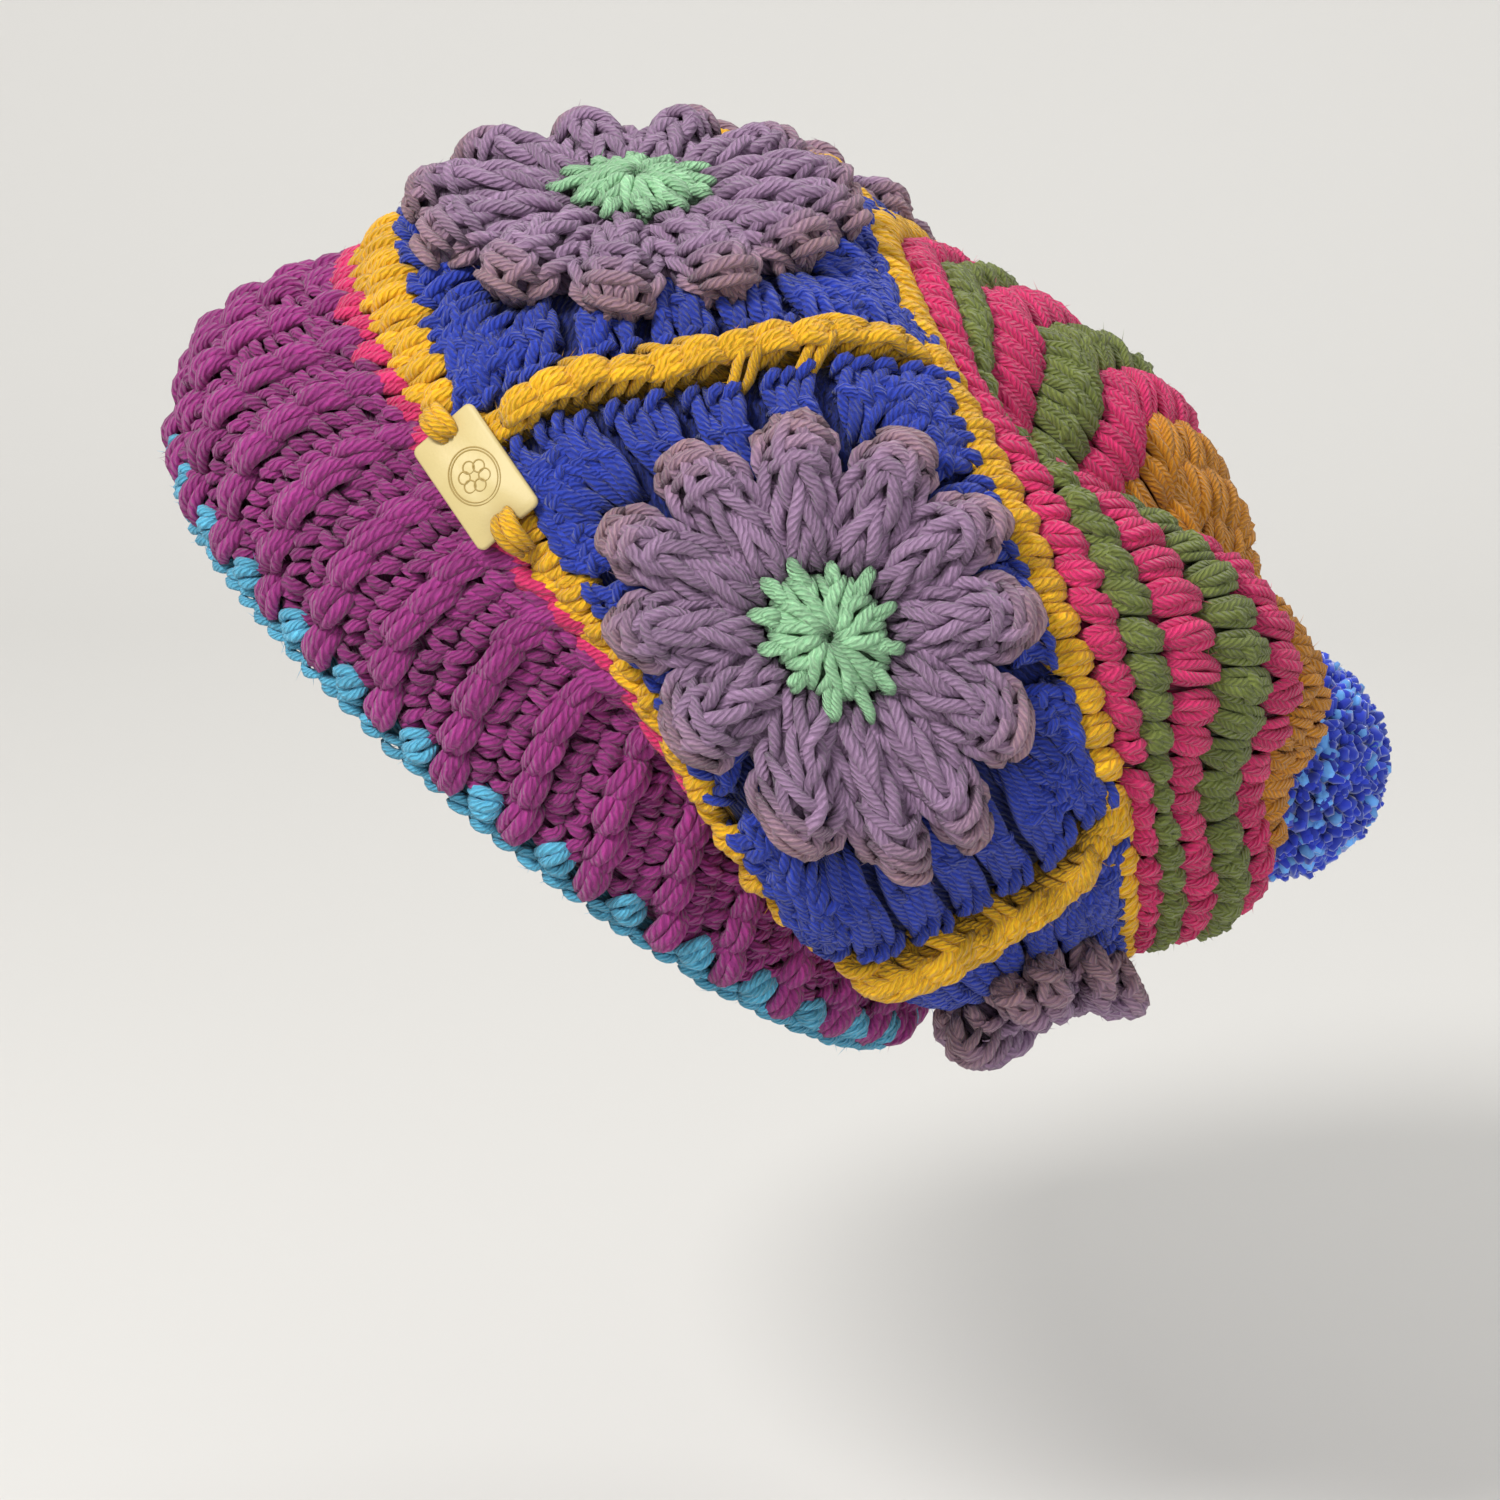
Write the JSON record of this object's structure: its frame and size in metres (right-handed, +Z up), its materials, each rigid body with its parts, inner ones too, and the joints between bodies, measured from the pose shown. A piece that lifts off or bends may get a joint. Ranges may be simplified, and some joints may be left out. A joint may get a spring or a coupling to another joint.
{
  "type": "bobble hat",
  "caption": "Slouchy crocheted bobble hat: ribbed brim band, bordered flower squares, closing stripes, a round pompom nested at the back and a small plain label.",
  "frame": {"origin": "highest point of the crown's inner face in the middle plane, where the hat rests on the head", "axes": "+X the wearer's left, +Y backwards towards the pompom, +Z up; the wearer faces -Y"},
  "size_m": [0.2066, 0.2487, 0.1881],
  "materials": {
    "sky_blue_yarn": "matt crocheted acrylic yarn with plump stitches",
    "magenta_yarn": "matt crocheted acrylic yarn with plump stitches",
    "crimson_pink_yarn": "matt crocheted acrylic yarn with plump stitches",
    "cobalt_yarn": "matt crocheted acrylic yarn with plump stitches",
    "sunny_yellow_yarn": "matt crocheted acrylic yarn with plump stitches",
    "dusky_lilac_yarn": "matt crocheted acrylic yarn with plump stitches",
    "mint_yarn": "matt crocheted acrylic yarn with plump stitches",
    "olive_yarn": "matt crocheted acrylic yarn with plump stitches",
    "mustard_yarn": "matt crocheted acrylic yarn with plump stitches",
    "royal_blue_plush": "soft plush pile with light blue flecks",
    "cream_leather": "smooth matt imitation leather"
  },
  "bodies": {
    "root": {"hem_edging": "sky_blue_yarn", "rib_band": "magenta_yarn", "joining_round": "crimson_pink_yarn", "square_ground_1": "cobalt_yarn", "square_border_1": "sunny_yellow_yarn", "flower_1": "dusky_lilac_yarn", "flower_centre_1": "mint_yarn", "square_ground_2": "cobalt_yarn", "square_border_2": "sunny_yellow_yarn", "flower_2": "dusky_lilac_yarn", "flower_centre_2": "mint_yarn", "square_ground_3": "cobalt_yarn", "square_border_3": "sunny_yellow_yarn", "flower_3": "dusky_lilac_yarn", "flower_centre_3": "mint_yarn", "square_ground_4": "cobalt_yarn", "square_border_4": "sunny_yellow_yarn", "flower_4": "dusky_lilac_yarn", "flower_centre_4": "mint_yarn", "square_ground_5": "cobalt_yarn", "square_border_5": "sunny_yellow_yarn", "flower_5": "dusky_lilac_yarn", "flower_centre_5": "mint_yarn", "crown_stripe_1": "crimson_pink_yarn", "crown_stripe_2": "olive_yarn", "crown_stripe_3": "crimson_pink_yarn", "crown_stripe_4": "olive_yarn", "crown_stripe_5": "crimson_pink_yarn", "crown_cap": "mustard_yarn", "pompom": "royal_blue_plush", "maker_tag": "cream_leather"}
  },
  "joints": []
}
